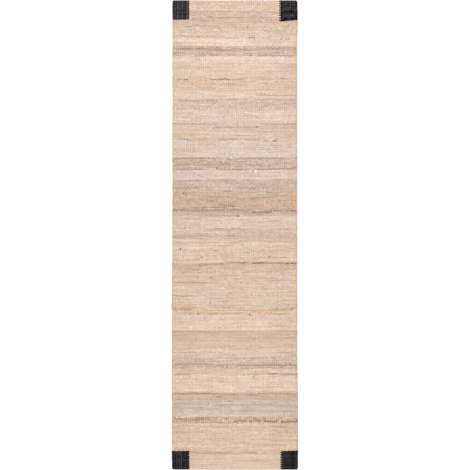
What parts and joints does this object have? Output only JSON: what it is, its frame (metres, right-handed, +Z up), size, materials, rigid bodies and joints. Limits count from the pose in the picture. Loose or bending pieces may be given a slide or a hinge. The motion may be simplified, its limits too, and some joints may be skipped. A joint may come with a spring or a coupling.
{
  "type": "runner rug",
  "caption": "Long flat-woven jute runner in uneven natural stripes across its width, with a square block of black yarn woven into each corner.",
  "frame": {"origin": "centre of the rug's underside, on the floor", "axes": "+X across the rug to its right, +Y along it to its back end, +Z up out of the floor"},
  "size_m": [0.8, 3, 0.008],
  "materials": {
    "jute_peach": "undyed warm peach jute yarn, matt and fibrous",
    "jute_straw": "undyed pale straw jute yarn, matt and fibrous",
    "jute_cream": "palest cream jute yarn, matt and fibrous",
    "jute_oat": "undyed light grey-beige jute yarn, matt and fibrous",
    "jute_sand": "undyed sand jute yarn, matt and fibrous",
    "jute_stone": "undyed greyish jute yarn, matt and fibrous",
    "jute_rose": "undyed dull pinkish jute yarn, matt and fibrous",
    "jute_tan": "undyed tan jute yarn, matt and fibrous",
    "jute_umber": "darkest undyed brown jute yarn, matt and fibrous",
    "black_yarn": "dyed charcoal-black jute yarn, matt, with a faint sheen on each rib",
    "cotton": "undyed cotton, matt",
    "sewing_thread": "ecru sewing thread, slightly glossy"
  },
  "bodies": {
    "root": {"weft_band_01": "jute_peach", "weft_band_02": "jute_sand", "weft_band_03": "jute_peach", "weft_band_04": "jute_straw", "weft_band_05": "jute_cream", "weft_band_06": "jute_rose", "weft_band_07": "jute_cream", "weft_band_08": "jute_straw", "weft_band_09": "jute_tan", "weft_band_10": "jute_peach", "weft_band_11": "jute_straw", "weft_band_12": "jute_sand", "weft_band_13": "jute_oat", "weft_band_14": "jute_sand", "weft_band_15": "jute_straw", "weft_band_16": "jute_stone", "weft_band_17": "jute_oat", "weft_band_18": "jute_rose", "weft_band_19": "jute_oat", "weft_band_20": "jute_stone", "weft_band_21": "jute_tan", "weft_band_22": "jute_umber", "weft_band_23": "jute_stone", "weft_band_24": "jute_oat", "weft_band_25": "jute_sand", "weft_band_26": "jute_stone", "weft_band_27": "jute_straw", "weft_band_28": "jute_umber", "weft_band_29": "jute_sand", "weft_band_30": "jute_sand", "weft_band_31": "jute_straw", "weft_band_32": "jute_peach", "weft_band_33": "jute_straw", "weft_band_34": "jute_tan", "weft_band_35": "jute_sand", "weft_band_36": "jute_oat", "weft_band_37": "jute_stone", "weft_band_38": "jute_tan", "weft_band_39": "jute_sand", "weft_band_40": "jute_straw", "weft_band_41": "jute_tan", "weft_band_42": "jute_stone", "weft_band_43": "jute_sand", "weft_band_44": "jute_umber", "weft_band_45": "jute_peach", "weft_band_46": "jute_sand", "weft_band_47": "jute_tan", "weft_band_48": "jute_peach", "corner_block_back_left": "black_yarn", "corner_block_back_right": "black_yarn", "corner_block_front_left": "black_yarn", "corner_block_front_right": "black_yarn", "warp_threads": "cotton", "selvedge_cord_left": "cotton", "selvedge_cord_right": "cotton", "end_tape_back": "cotton", "end_tape_front": "cotton", "tape_stitches_back": "sewing_thread", "tape_stitches_front": "sewing_thread"}
  },
  "joints": []
}
